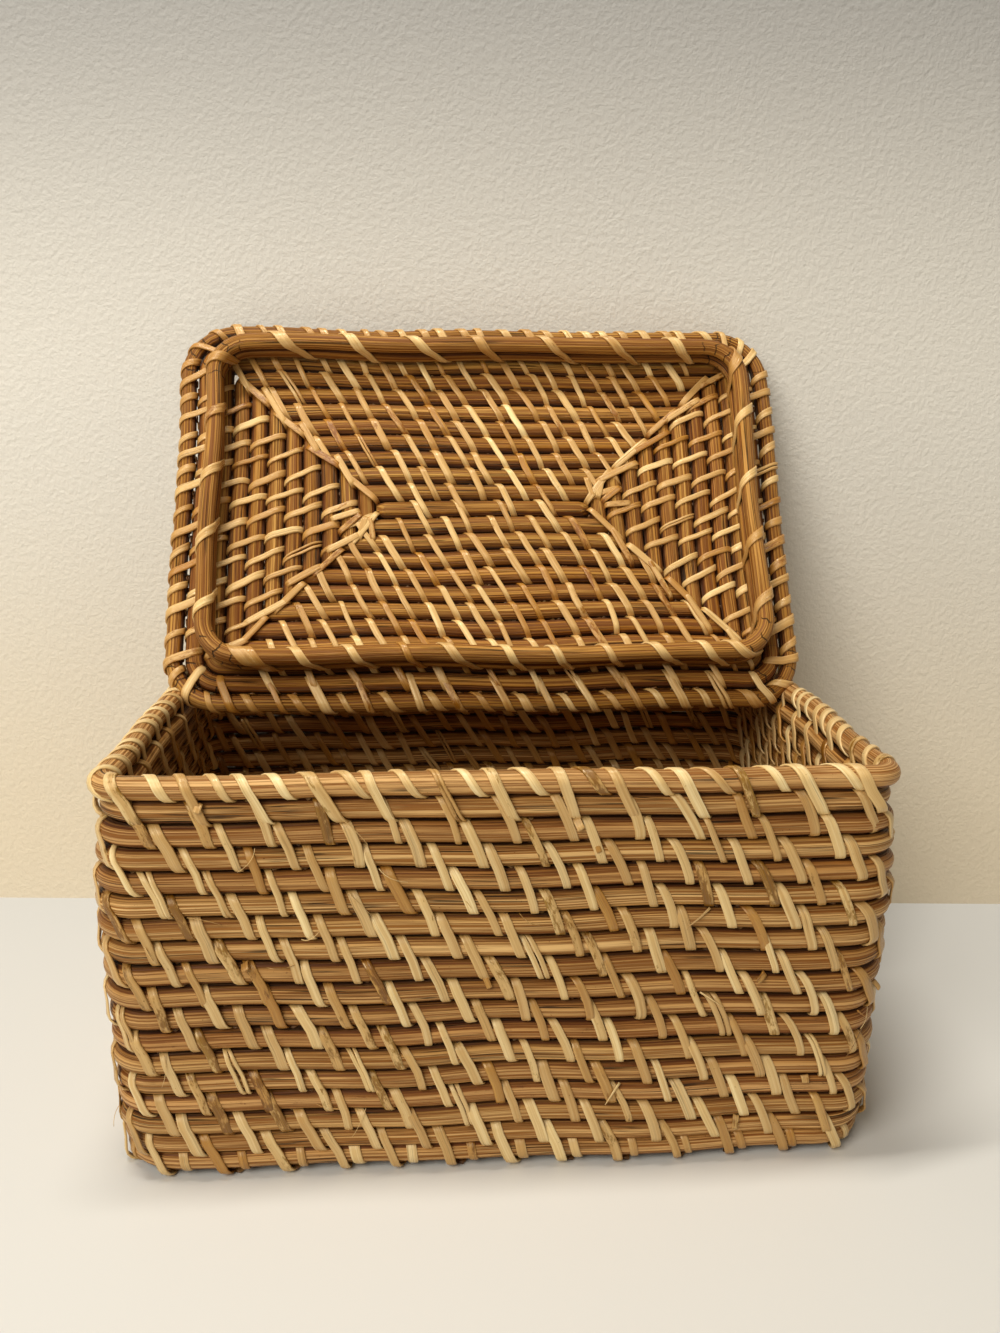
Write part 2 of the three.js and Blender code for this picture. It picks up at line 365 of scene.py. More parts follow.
def spread(tree, value, low, high):
    """Stretches a value so that low becomes 0 and high becomes 1."""
    node = add_node(
        tree, "ShaderNodeMapRange", interpolation_type="SMOOTHSTEP",
        inputs={"Value": value, "From Min": low, "From Max": high},
    )
    return node.outputs["Result"]


def noise_mask(tree, vector, scale, detail, roughness, low, high):
    """Noise with its low values stretched to 0 and its high ones to 1."""
    return spread(tree, scaled_noise(tree, vector, scale, detail, roughness), low, high)


def math_node(tree, operation, first, second=0.0):
    return add_node(tree, "ShaderNodeMath", operation=operation, inputs={0: first, 1: second}).outputs[0]


def plus(tree, first, second):
    return math_node(tree, "ADD", first, second)


def minus(tree, first, second):
    return math_node(tree, "SUBTRACT", first, second)


def times(tree, first, second):
    return math_node(tree, "MULTIPLY", first, second)


def mix_colour(tree, share, first, second, blend="MIX"):
    node = add_node(
        tree, "ShaderNodeMix", data_type="RGBA", blend_type=blend,
        inputs={0: share, 6: first, 7: second},
    )
    return node.outputs[2]


def cracks_along(group, place):
    """Thin cracks that run with the fibres, in patches."""
    ridge = math_node(group, "ABSOLUTE", minus(group, scaled_noise(group, place, *CRACK_RIDGES), 0.5))
    patch = noise_mask(group, place, *CRACK_PATCHES)
    return times(group, minus(group, 1.0, spread(group, ridge, *CRACK_EDGES)), patch)


def breaks_across(group, fibre_place, place, bent):
    """Short breaks that cross the fibres where the cane is bent, in patches."""
    along = add_node(group, "ShaderNodeSeparateXYZ", inputs={"Vector": fibre_place}).outputs["X"]
    waver = times(group, scaled_noise(group, fibre_place, *BREAK_WAVER), BREAK_WAVER_TURN)
    phase = plus(group, times(group, along, math.pi / BREAK_SPACING), waver)
    beat = math_node(group, "ABSOLUTE", math_node(group, "SINE", phase))
    line = minus(group, 1.0, spread(group, beat, *BREAK_EDGES))
    return times(group, times(group, line, bent), noise_mask(group, place, *BREAK_PATCHES))


def make_grain_group():
    """Long fibres of split rattan: fine lines, broader bands, cracks, and the relief of all three."""
    group, given, result = new_group(
        "rattan_grain",
        {"Fibre Place": (POSITION, (0, 0, 0)), "Coarseness": (NUMBER, 1.0), "Bent": (NUMBER, 0.0)},
        {"Fine Lines": NUMBER, "Broad Bands": NUMBER, "Cracks": NUMBER, "Relief": NUMBER},
    )
    shrink = math_node(group, "DIVIDE", 1.0, given["Coarseness"])
    across = add_node(group, "ShaderNodeCombineXYZ", inputs={"X": 1.0, "Y": shrink, "Z": shrink})
    place = add_node(
        group, "ShaderNodeVectorMath", operation="MULTIPLY",
        inputs={0: given["Fibre Place"], 1: across.outputs[0]},
    ).outputs[0]
    fine = noise_mask(group, place, *FINE_LINES)
    broad = noise_mask(group, place, *BROAD_BANDS)
    breaks = breaks_across(group, given["Fibre Place"], place, given["Bent"])
    crack = math_node(group, "MAXIMUM", cracks_along(group, place), breaks)
    relief = plus(group, fine, times(group, broad, BAND_RELIEF))
    relief = minus(group, relief, times(group, crack, CRACK_RELIEF))
    group.links.new(fine, result["Fine Lines"])
    group.links.new(broad, result["Broad Bands"])
    group.links.new(crack, result["Cracks"])
    group.links.new(relief, result["Relief"])
    return group


def make_stain_group():
    """Brown stains and small dark specks, as masks."""
    group, given, result = new_group(
        "rattan_stains",
        {"Fibre Place": (POSITION, (0, 0, 0)), "Amount": (NUMBER, 0.5)},
        {"Stain": NUMBER, "Specks": NUMBER},
    )
    low = minus(group, STAIN_LIMIT, times(group, given["Amount"], STAIN_LOWERED))
    patches = scaled_noise(group, given["Fibre Place"], *STAIN_PATCHES)
    stain = spread(group, patches, low, plus(group, low, STAIN_EDGE))
    group.links.new(stain, result["Stain"])
    group.links.new(noise_mask(group, given["Fibre Place"], *SPECK_SPOTS), result["Specks"])
    return group


def make_painted_shade_group():
    """Painted shade: colour that grows deeper and then dark where a surface lies in between its neighbours.
    """
    group, given, result = new_group(
        "painted_contact_shade",
        {
            "Color": (COLOUR, WHITE), "Contact Shade": (NUMBER, 0.0),
            "Shade": (COLOUR, (0.1, 0.05, 0.02, 1)), "Depth": (NUMBER, 0.7),
        },
        {"Color": COLOUR},
    )
    share = times(group, given["Contact Shade"], given["Depth"])
    power = plus(group, 1.0, share)
    deeper = add_node(group, "ShaderNodeGamma", inputs={"Color": given["Color"], "Gamma": power}).outputs[0]
    dark = math_node(group, "POWER", share, SHADE_DARK_POWER)
    group.links.new(mix_colour(group, dark, deeper, given["Shade"]), result["Color"])
    return group


GRAIN = make_grain_group()
STAINS = make_stain_group()
PAINTED_SHADE = make_painted_shade_group()


def use_group(tree, group, inputs):
    return add_node(tree, "ShaderNodeGroup", node_tree=group, inputs=inputs).outputs


def read_attribute(tree, name):
    return add_node(tree, "ShaderNodeAttribute", attribute_name=name).outputs


def rattan_colour(tree, look, place, grain):
    """Dark to pale fibres, tinted piece by piece, cracked, stained, and darkened by painted shade between
    neighbours.
    """
    tone, tint, contact_shade = (read_attribute(tree, name)["Fac"] for name in ("tone", "tint", "contact_shade"))
    colour = mix_colour(tree, tone, look["deep"], look["pale"])
    colour = mix_colour(tree, times(tree, tint, look["tint_share"]), colour, look["tint"])
    lines = mix_colour(tree, grain["Fine Lines"], look["line_dark"], look["line_pale"])
    colour = mix_colour(tree, look["line_share"], colour, lines, "MULTIPLY")
    bands = mix_colour(tree, grain["Broad Bands"], look["band_dark"], WHITE)
    colour = mix_colour(tree, look["band_share"], colour, bands, "MULTIPLY")
    colour = mix_colour(tree, times(tree, grain["Cracks"], look["crack_share"]), colour, look["shade"])
    amount = times(tree, math_node(tree, "POWER", tint, STAIN_TINT_POWER), look["stains"])
    stains = use_group(tree, STAINS, {"Fibre Place": place, "Amount": amount})
    for mask, share in (("Stain", look["stain_share"]), ("Specks", SPECK_SHARE)):
        colour = mix_colour(tree, times(tree, stains[mask], share), colour, look["stain"], "MULTIPLY")
    shade_inputs = {"Color": colour, "Contact Shade": contact_shade, "Shade": look["shade"], "Depth": look["depth"]}
    return use_group(tree, PAINTED_SHADE, shade_inputs)["Color"]


def rattan_material(name, look):
    """A procedural rattan, with its colour, sheen and relief from one grain."""
    material = bpy.data.materials.new(name)
    material.use_nodes = True
    tree = material.node_tree
    tree.nodes.clear()
    place = read_attribute(tree, "fibre_place")["Vector"]
    bent = read_attribute(tree, "bent")["Fac"]
    grain = use_group(tree, GRAIN, {"Fibre Place": place, "Coarseness": look["coarseness"], "Bent": bent})
    rough = add_node(
        tree, "ShaderNodeMapRange",
        inputs={
            "Value": grain["Fine Lines"], "To Min": look["rough"] + LINE_ROUGHNESS, "To Max": look["rough"],
        },
    )
    bump = add_node(
        tree, "ShaderNodeBump",
        inputs={"Strength": look["bump"], "Distance": look["bump_depth"], "Height": grain["Relief"]},
    )
    shader = add_node(
        tree, "ShaderNodeBsdfPrincipled",
        inputs={
            "Base Color": rattan_colour(tree, look, place, grain), "Roughness": rough.outputs[0],
            "Normal": bump.outputs[0], "Specular IOR Level": look["shine"], "Specular Tint": SHINE_COLOUR,
        },
    )
    output = add_node(tree, "ShaderNodeOutputMaterial")
    tree.links.new(shader.outputs[0], output.inputs["Surface"])
    return material


# Looks of the core cane and of the peel: their colours from dark to pale fibres, how strongly the tint,
# lines, bands, cracks, stains and the painted shade between the canes show, and their sheen and relief
CANE_LOOK = {
    "deep": srgb(192, 147, 86), "pale": srgb(240, 202, 140), "tint": srgb(198, 142, 86), "tint_share": 0.5,
    "line_dark": srgb(168, 137, 92), "line_pale": srgb(255, 254, 250), "line_share": 1.0,
    "band_dark": srgb(206, 182, 146), "band_share": 0.3, "crack_share": 0.85,
    "stain": srgb(160, 124, 84), "stain_share": 0.5, "stains": 0.3,
    # The painted shade between canes: its dark colour, which the cracks also take, and its strength
    "shade": srgb(30, 11, 1), "depth": 0.99,
    "coarseness": 1.0, "rough": 0.42, "shine": 0.35, "bump": 0.7, "bump_depth": 0.3 * MM,
}
LID_CANE_LOOK = {
    **CANE_LOOK, "deep": srgb(174, 124, 48), "pale": srgb(220, 176, 97), "tint": srgb(184, 120, 48),
}
STRIP_LOOK = {
    "deep": srgb(182, 135, 66), "pale": srgb(252, 231, 178), "tint": srgb(190, 142, 60), "tint_share": 0.55,
    "line_dark": srgb(212, 192, 154), "line_pale": srgb(255, 254, 250), "line_share": 0.5,
    "band_dark": srgb(228, 208, 172), "band_share": 0.55, "crack_share": 0.3,
    "stain": srgb(172, 150, 84), "stain_share": 1.0, "stains": 0.72,
    # The painted shade where strips go in between canes: its dark colour and its strength
    "shade": srgb(62, 32, 10), "depth": 0.85,
    "coarseness": 0.8, "rough": 0.26, "shine": 0.7, "bump": 0.35, "bump_depth": 0.2 * MM,
}
LID_STRIP_LOOK = {
    **STRIP_LOOK, "deep": srgb(186, 134, 56), "pale": srgb(253, 225, 164), "tint": srgb(190, 134, 56),
    "stain": srgb(190, 158, 80), "stains": 0.56, "line_dark": srgb(214, 190, 146),
    "band_dark": srgb(226, 206, 164),
}
MATERIALS = {
    "wall_cane": rattan_material("rattan_core_wall", CANE_LOOK),
    "base_cane": rattan_material("rattan_core_base", {**CANE_LOOK, "deep": srgb(134, 94, 58)}),
    "lid_cane": rattan_material("rattan_core_lid", LID_CANE_LOOK),
    "wall_strip": rattan_material("rattan_peel_wall", STRIP_LOOK),
    "lid_strip": rattan_material("rattan_peel_lid", LID_STRIP_LOOK),
}


# The two bodies that show, each worked in an upright frame of its own

lid_tilt = next(joint for joint in frame["joints"] if joint["name"] == "lid_tilt")
LID_TURN = math.radians(lid_tilt["range_deg"][1])
PLACES = {
    "box": Matrix.Identity(4),
    "lid": Matrix.Translation(lid_tilt["pos_m"]) @ Matrix.Rotation(-LID_TURN, 4, "X"),
}


def make_waves(seed):
    """Seeded long waves that bend a whole body a little, canes and strips alike."""
    local = np.random.default_rng(seed)
    lengths = local.uniform(BEND_SHORTEST, BEND_LONGEST, (BEND_WAVES, 3))
    waves = 2 * math.pi / lengths * local.choice((-1, 1), (BEND_WAVES, 3))
    return waves, local.uniform(0, 2 * math.pi, (BEND_WAVES, 3))


BODY_WAVES = {body: make_waves(seed) for body, seed in WAVE_SEEDS.items()}


def hand_bend(points, body):
    """Moves points by the body's waves. The box stays level on the floor."""
    waves, phases = BODY_WAVES[body]
    shift = np.sin((points @ waves.T)[:, :, None] + phases).sum(1)
    shift *= np.array((BEND_SIDEWAYS, BEND_SIDEWAYS, BEND_UPRIGHT[body])) / math.sqrt(BEND_WAVES / 2)
    if body == "lid":
        shift[:, 2] += LID_RAISED
    if body == "box":
        rise = np.clip(points[:, 2] / LEVEL_HEIGHT, 0, 1)
        shift[:, 2] *= rise * rise * (3 - 2 * rise)
        points = points * (1, 1, 0) + np.maximum(points, 0) * (0, 0, 1)
    return points + shift


def make_piece(name, body, material, points, faces, facts):
    """A mesh piece that rides on a body, with its fibre places, tones and painted shade shares as
    attributes.
    """
    mesh = bpy.data.meshes.new(name)
    placed = np.array(PLACES[body])
    points = hand_bend(points, body) @ placed[:3, :3].T + placed[:3, 3]
    mesh.from_pydata(points.tolist(), [], faces)
    for label, values in facts.items():
        kind, field = ("FLOAT_VECTOR", "vector") if values.ndim == 2 else ("FLOAT", "value")
        mesh.attributes.new(label, kind, "POINT").data.foreach_set(field, values.astype(np.float32).ravel())
    mesh.shade_smooth()
    mesh.materials.append(MATERIALS[material])
    piece = add_object(name, mesh)
    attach(piece, body)
    return piece


def read_node(node, body):
    """The corners of a CAD node in its body's upright frame, with the lowest and highest."""
    upright = PLACES[body].inverted()
    points = np.array([upright @ v.co for v in frame["nodes"][node].data.vertices])
    return points, points.min(0), points.max(0)


class Round:
    """The centre line of one round of cane, read from its CAD node: a rectangle with bent corners."""

    def __init__(self, node, body):
        points, low, high = read_node(node, body)
        self.node, self.body = node, body
        self.centre = (low + high) / 2
        self.thickness = (high - low)[2]
        outer = (high - low) / 2
        side = points[points[:, 0] > high[0] - SAME_PLACE]
        corner = outer[1] - np.abs(side[:, 1] - self.centre[1]).max()
        self.half = outer[:2] - self.thickness / 2
        self.bend = max(corner - self.thickness / 2, 0.0)
        inner = self.half - self.bend
        self.corners = self.centre[:2] + inner * np.array(((-1, -1), (1, -1), (1, 1), (-1, 1)))
        self.restretch()

    def restretch(self):
        """Works out the lengths of the sides and bends from the centres of the bends."""
        width, depth = self.corners[2] - self.corners[0]
        arc = self.bend * math.pi / 2
        self.lengths = np.array([width, arc, depth, arc] * 2)
        self.starts = np.concatenate(([0], np.cumsum(self.lengths)[:-1]))
        self.length = self.lengths.sum()

    def step_out(self, across, along=None):
        """Moves the sides outwards a little, with the corners bent as before."""
        amounts = np.array((across, across if along is None else along))
        self.corners = self.corners + np.sign(self.corners - self.centre[:2]) * amounts
        self.restretch()

    def push_front(self, farther):
        """Moves the front side forwards and leaves the others where they are."""
        self.corners = self.corners - np.array(((0, farther), (0, farther), (0, 0), (0, 0)))
        self.restretch()

    def round_off(self, extra):
        """Makes the bends wider and leaves the sides where they are."""
        self.corners = self.corners - np.sign(self.corners - self.centre[:2]) * extra
        self.bend += extra
        self.restretch()

    def stretch_at(self, distance):
        """Which stretch a distance lies in: sides and bends by turns, from the front's left end."""
        return np.searchsorted(self.starts, np.mod(distance, self.length), side="right") - 1

    def at(self, distance):
        """Points and outward normals at distances round the centre line, from the front's left end."""
        stretch = self.stretch_at(distance)
        along = np.mod(distance, self.length) - self.starts[stretch]
        side, on_arc = stretch // 2, stretch % 2
        heading = side * (math.pi / 2) + np.where(on_arc, along / max(self.bend, NEARLY_NOTHING), 0)
        normal = np.stack((np.sin(heading), -np.cos(heading), np.zeros_like(heading)), -1)
        travel = np.stack((np.cos(heading), np.sin(heading), np.zeros_like(heading)), -1)
        corner = self.corners[(side + on_arc) % 4]
        point = np.concatenate((corner, np.full(corner.shape[:-1] + (1,), self.centre[2])), -1)
        point = point + normal * self.bend + travel * np.where(on_arc, 0, along)[..., None]
        return point, normal

    def bent_shares(self, distance):
        """1 at places that lie in a bend and 0 along the sides."""
        return (self.stretch_at(distance) % 2).astype(float)

    def on_side(self, side, along):
        """Distance round the centre line of a place on a straight side, from the side's middle."""
        return self.starts[2 * side] + self.lengths[2 * side] / 2 + along

    def rings(self):
        """Distances, points, outward directions and stretch of the tube's rings."""
        found = []
        for side in range(4):
            start, run = self.starts[2 * side], self.lengths[2 * side]
            count = max(2, round(run / TUBE_SPACING))
            first, last = (0, count + 1) if self.bend else (1, count)
            found += list(start + run * np.arange(first, last) / count)
            if self.bend:
                arc = self.lengths[2 * side + 1]
                found += list(self.starts[2 * side + 1] + arc * np.arange(1, BEND_STEPS) / BEND_STEPS)
        distance = np.array(found)
        point, normal = self.at(distance)
        scale = np.ones(len(distance))
        if not self.bend:
            distance, point, normal, scale = self.with_mitres(distance, point, normal, scale)
        return distance, point, normal, scale

    def with_mitres(self, distance, point, normal, scale):
        """Adds one ring at each sharp corner, in the plane that halves the corner."""
        for side in range(4):
            start = self.starts[2 * side]
            index = np.searchsorted(distance, start)
            corner = np.append(self.corners[side], self.centre[2])
            outward = self.corners[side] - self.centre[:2]
            diagonal = np.append(np.sign(outward), 0) / math.sqrt(2)
            distance = np.insert(distance, index, start)
            point = np.insert(point, index, corner, axis=0)
            normal = np.insert(normal, index, diagonal, axis=0)
            scale = np.insert(scale, index, math.sqrt(2))
        return distance, point, normal, scale


def read_rounds(stem, body):
    """The rounds of a numbered run of CAD nodes, in order."""
    return [Round(node, body) for node in sorted(frame["nodes"]) if node.startswith(stem)]


def wavy(values, wavelength, count=4):
    """A smooth random wave along values, about -1 to 1, of waves half to twice as long as the length."""
    lengths = rng.uniform(0.5, 2.0, count) * wavelength
    phases = rng.uniform(0, 2 * math.pi, count)
    return np.sin(values[:, None] * (2 * math.pi / lengths) + phases).sum(1) / math.sqrt(2 * count)


def contact_shade_shares(touching):
    """How dark the painted shade is on each side of a cane, from how near it is to a neighbour: 1 where
    they touch. The tube starts outwards.
    """
    out, up = np.cos(TUBE_ANGLES), np.sin(TUBE_ANGLES)
    toward = {"out": out, "in": -out, "up": up, "down": -up}
    nearest = np.max([toward[side] for side in touching], axis=0)
    return np.clip(nearest, 0, 1) ** CONTACT_SHADE_SHARPNESS


def tube_shape(run, point, normal, scale, size):
    """Points of a tube round a centre line, and their places in fibres that follow the run."""
    out = size[:, None] * np.cos(TUBE_ANGLES)
    up = size[:, None] * np.sin(TUBE_ANGLES)
    points = point[:, None] + normal[:, None] * (out * scale[:, None])[..., None]
    points[..., 2] += up
    places = np.stack((np.broadcast_to(run[:, None], out.shape), out, up), -1)
    places = places + rng.uniform(0, GRAIN_OFFSET, 3)
    return points.reshape(-1, 3), places.reshape(-1, 3)


def add_cane(ring, radius, material, touching, tone, name):
    """One round of cane as a closed tube. touching names the sides on which its neighbours lie and painted
    shade darkens it.
    """
    distance, point, normal, scale = ring.rings()
    count = len(distance)
    fold = np.abs(distance - ring.length / 2)
    size = radius * (1 + CANE_UNEVEN * wavy(fold, CANE_WAVE))
    points, places = tube_shape(fold, point, normal, scale, size)
    tones = tone + TONE_UNEVEN * wavy(fold, TONE_WAVE)
    facts = {
        "fibre_place": places,
        "tone": np.repeat(np.clip(tones, 0, 1), TUBE_SIDES),
        "tint": np.full(count * TUBE_SIDES, rng.uniform(0, 1)),
        "contact_shade": np.tile(contact_shade_shares(touching), count),
        "bent": np.repeat(ring.bent_shares(distance), TUBE_SIDES) * (ring.body == "lid"),
    }
    faces = ring_faces(count, TUBE_SIDES, closed=True)
    piece = make_piece(name, ring.body, material, points, faces, facts)
    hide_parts(ring.node)


def add_centre_cane(node, body, material, radius, name, height=0.0):
    """The straight cane in the middle of a nest."""
    _, low, high = read_node(node, body)
    count = max(4, round((high[0] - low[0]) / TUBE_SPACING))
    along = np.linspace(low[0], high[0], count)
    point = np.stack((along, np.full(count, (low[1] + high[1]) / 2), np.full(count, height)), -1)
    size = radius * (1 + CANE_UNEVEN * wavy(along, CANE_WAVE))
    size[[0, -1]] *= CENTRE_CANE_END
    points, places = tube_shape(along, point, np.tile((0.0, -1.0, 0.0), (count, 1)), np.ones(count), size)
    facts = {
        "fibre_place": places,
        "tone": np.full(count * TUBE_SIDES, CENTRE_CANE_TONE),
        "tint": np.full(count * TUBE_SIDES, CENTRE_CANE_TINT),
        "contact_shade": np.tile(contact_shade_shares(("in", "out")), count),
    }
    faces = ring_faces(count, TUBE_SIDES, closed=False)
    piece = make_piece(name, body, material, points, faces, facts)
    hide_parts(node)


def ring_faces(count, sides, closed):
    """Quads between rings of points, and end caps if the run is open."""
    first = np.arange(count if closed else count - 1)[:, None] * sides
    second = np.mod(first + sides, count * sides)
    around = np.arange(sides)[None]
    ahead = np.mod(around + 1, sides)
    quads = np.stack((first + around, second + around, second + ahead, first + ahead), -1).reshape(-1, 4)
    faces = quads.tolist()
    if not closed:
        faces.append(list(range(sides)))
        faces.append(list(range(count * sides - 1, (count - 1) * sides - 1, -1)))
    return faces


# A strip's path over the canes, as (out, up, angle) places about the upper cane's centre

def arc(radius, height, angles):
    """Places round a cane whose centre is at a height."""
    return [(radius * math.cos(angle), height + radius * math.sin(angle), angle) for angle in angles]


def section_path(radius, pitch, canes, whole):
    """The path over one or two canes, up from below on the outer side. A whole one comes down inside."""
    bottom = -pitch * (canes - 1)
    places = arc(radius, bottom, np.linspace(-TUCK_ANGLE, 0, ARC_STEPS))
    if canes == 2:
        places.append((radius - STRIP_SAG, bottom / 2, 0.0))
    end = math.pi if whole else TUCK_ANGLE
    steps = ARC_STEPS * 2 if whole else ARC_STEPS
    repeated = 0 if canes == 2 else 1
    places += arc(radius, 0.0, np.linspace(0, end, steps)[repeated:])
    if whole:
        if canes == 2:
            places.append((-radius + STRIP_SAG, bottom / 2, math.pi))
        places += arc(radius, bottom, np.linspace(math.pi, math.pi + TUCK_ANGLE, ARC_STEPS)[repeated:])
    path = np.array(places)
    lengths = np.hypot(*np.diff(path[:, :2], axis=0).T)
    travelled = np.concatenate(([0], np.cumsum(lengths)))
    return path, travelled


# A strip's crowned section, in half widths across and thicknesses up
STRIP_PROFILE = np.array((
    (-1.0, -0.1), (-1.0, 0.6), (-0.88, 0.88), (-0.4, 1.0),
    (0.4, 1.0), (0.88, 0.88), (1.0, 0.6), (1.0, -0.1),
))


def lay_strips(ring, centre, lean, path, travelled, options):
    """Centre lines and face normals of strips laid over a pair of canes.

    centre holds each strip's distance round the cane, and lean how far it drifts from end to end. A
    hooked strip leans more at its upper end. outward and stack give the section's axes from the
    cane's normal."""
    share = travelled / travelled[-1] - 0.5
    bow = rng.normal(0, STITCH_CURVE, (len(centre), 1)) - options.get("hook", 0)
    curve = bow * (4 * share**2 - 0.5)
    distance = centre[:, None] - options.get("direction", 1) * lean[:, None] * share + curve
    point, normal = ring.at(distance)
    out, up = options["outward"](normal), options["stack"](normal)
    points = point + out * path[:, 0, None] + up * path[:, 1, None]
    faces = out * np.cos(path[:, 2])[:, None] + up * np.sin(path[:, 2])[:, None]
    return points, faces


def strip_mesh(points, normals, widths, thicknesses, tones, tints, end_shade):
    """Crowned flat strips along many centre lines at once."""
    travel = np.gradient(points, axis=1)
    across = np.cross(normals, travel)
    across /= np.linalg.norm(across, axis=-1, keepdims=True)
    strips, steps = points.shape[:2]
    sides = len(STRIP_PROFILE)
    wide = STRIP_PROFILE[:, 0] * widths[:, :, None] / 2
    high = STRIP_PROFILE[:, 1] * thicknesses[:, None, None]
    verts = points[:, :, None] + across[:, :, None] * wide[..., None]
    verts = verts + normals[:, :, None] * high[..., None]
    lengths = np.linalg.norm(np.diff(points, axis=1), axis=-1)
    run = np.concatenate((np.zeros((strips, 1)), np.cumsum(lengths, 1)), 1)
    places = np.stack(np.broadcast_arrays(run[:, :, None], wide, high), -1)
    places = places + rng.uniform(0, GRAIN_OFFSET, (strips, 1, 1, 3))
    block = np.array(ring_faces(steps, sides, closed=False)[:-2])
    offsets = np.arange(strips) * steps * sides
    faces = (block[None] + offsets[:, None, None]).reshape(-1, 4).tolist()
    cap = np.arange(sides)
    faces += (cap + offsets[:, None]).tolist()
    faces += (cap[::-1] + (steps - 1) * sides + offsets[:, None]).tolist()
    count = steps * sides
    facts = {
        "fibre_place": places.reshape(-1, 3),
        "tone": np.repeat(tones, count),
        "tint": np.repeat(tints, count),
        "contact_shade": np.tile(np.repeat(end_shade, sides), strips),
    }
    return verts.reshape(-1, 3), faces, facts


def join_meshes(parts):
    """One mesh from several (points, faces, facts)."""
    offset = 0
    points, faces, facts = [], [], {}
    for part_points, part_faces, part_facts in parts:
        points.append(part_points)
        faces += [[index + offset for index in face] for face in part_faces]
        offset += len(part_points)
        for label, values in part_facts.items():
            facts.setdefault(label, []).append(values)
    return np.concatenate(points), faces, {label: np.concatenate(v) for label, v in facts.items()}


def end_shade_shares(path):
    """How far each step of a path is tucked away between the canes, 0 to 1, as the share of painted shade
    on it.
    """
    ends = np.minimum(np.arange(len(path)), np.arange(len(path))[::-1])
    return np.clip(1 - ends / END_SHADE_STEPS, 0, 1)


def split_some(centre, lean, tones, tints, widths):
    """Some strips have split along their length into two narrow ones."""
    split = rng.random(len(centre)) < SPLIT_SHARE
    torn = widths[split]
    centre = np.concatenate((centre, centre[split] + torn * SPLIT_APART))
    lean = np.concatenate((lean, lean[split] + rng.normal(0, SPLIT_LEAN, split.sum())))
    tones = np.concatenate((tones, np.clip(tones[split] - SPLIT_DARKER, 0, 1)))
    tints = np.concatenate((tints, tints[split]))
    first, second = SPLIT_WIDTHS
    widths = np.concatenate((np.where(split, widths * first, widths), torn * second))
    return centre, lean, tones, tints, widths


def stitches(ring, centres, options):
    """A row of strips laid over one or two canes, with the unevenness of hand work."""
    count = len(centres)
    centre = centres + rng.normal(0, STITCH_JITTER, count)
    lean = options["lean"] * (1 + rng.normal(0, LEAN_SPREAD, count))
    tones = np.clip(options["tone"] + rng.normal(0, STRIP_TONE_SPREAD, count), 0, 1)
    tints = np.clip(rng.random(count) ** STRIP_TINT_POWER, 0, 1)
    widths = STRIP_WIDTH * options.get("width", 1.0) * (1 + rng.normal(0, STRIP_WIDTH_SPREAD, count))
    if options.get("split", True):
        centre, lean, tones, tints, widths = split_some(centre, lean, tones, tints, widths)
    whole = options.get("whole", False)
    path, travelled = section_path(options["radius"], options["pitch"], options["canes"], whole)
    points, normals = lay_strips(ring, centre, lean, path, travelled, options)
    thick = STRIP_THICKNESS * (1 + rng.normal(0, STRIP_THICKNESS_SPREAD, len(centre)))
    share = travelled / travelled[-1]
    taper = 1 - options.get("taper", STRIP_TAPER) * (2 * np.abs(share - 0.5)) ** STRIP_TAPER_POWER
    return strip_mesh(points, normals, widths[:, None] * taper, thick, tones, tints, end_shade_shares(path))


# Axes of a strip's section, from the outward normals of its round
UP = np.array((0.0, 0.0, 1.0))


def sideways(normal):
    return normal


def inward(normal):
    return -normal


def upward(normal):
    return np.broadcast_to(UP, normal.shape)


def downward(normal):
    return np.broadcast_to(-UP, normal.shape)


def spaced(ring, count, shift):
    """Evenly spaced distances right round a ring, counted from the middle of its front."""
    return ring.on_side(0, shift) + np.arange(count) * (ring.length / count)


# Walls

def shape_rows(rows, radius):
    """Draws the top rows in at the ends, and lifts the bottom rows and rounds their corners."""
    rows[0].centre[2] = radius + FOOT_GAP
    for row, drawn_in in zip(reversed(rows), TOP_DRAWN_IN):
        row.step_out(-drawn_in, 0)
    for row, rounder, drawn_in in zip(rows, FOOT_ROUNDER, FOOT_DRAWN_IN):
        row.step_out(-drawn_in)
        row.round_off(rounder)
    for row, lift in zip(rows, FOOT_LIFT):
        row.centre[2] += lift
    rows[-1].centre[2] -= RIM_PRESSED


def build_walls():
    rows = [*read_rounds("wall_row_", "box"), Round("rim_cane", "box")]
    pitch = rows[1].centre[2] - rows[0].centre[2]
    radius = pitch / 2 * WALL_CANE_FILL
    shape_rows(rows, radius)
    for index, row in enumerate(rows):
        row.step_out(rng.uniform(-ROW_STEP, ROW_STEP))
        is_rim = row.node == "rim_cane"
        name = "rim_cane_round" if is_rim else f"wall_cane_{index + 1:02d}"
        touching = ("down",) if is_rim else ("up", "down")
        add_cane(row, radius, "wall_cane", touching, rng.uniform(*CANE_TONES["wall"]), name)
    count = round(rows[len(rows) // 2].length / STITCH_SPACING)
    fit = {"radius": radius, "pitch": pitch, "outward": sideways, "stack": upward}
    for index, row in enumerate(rows[1:-1]):
        add_wall_lashing(row, index, count, fit)
    add_rim_wraps(rows[-1], len(rows) - 2, count, fit)
    add_foot_wraps(rows[0], count, fit)
    add_loose_ends(rows, radius)


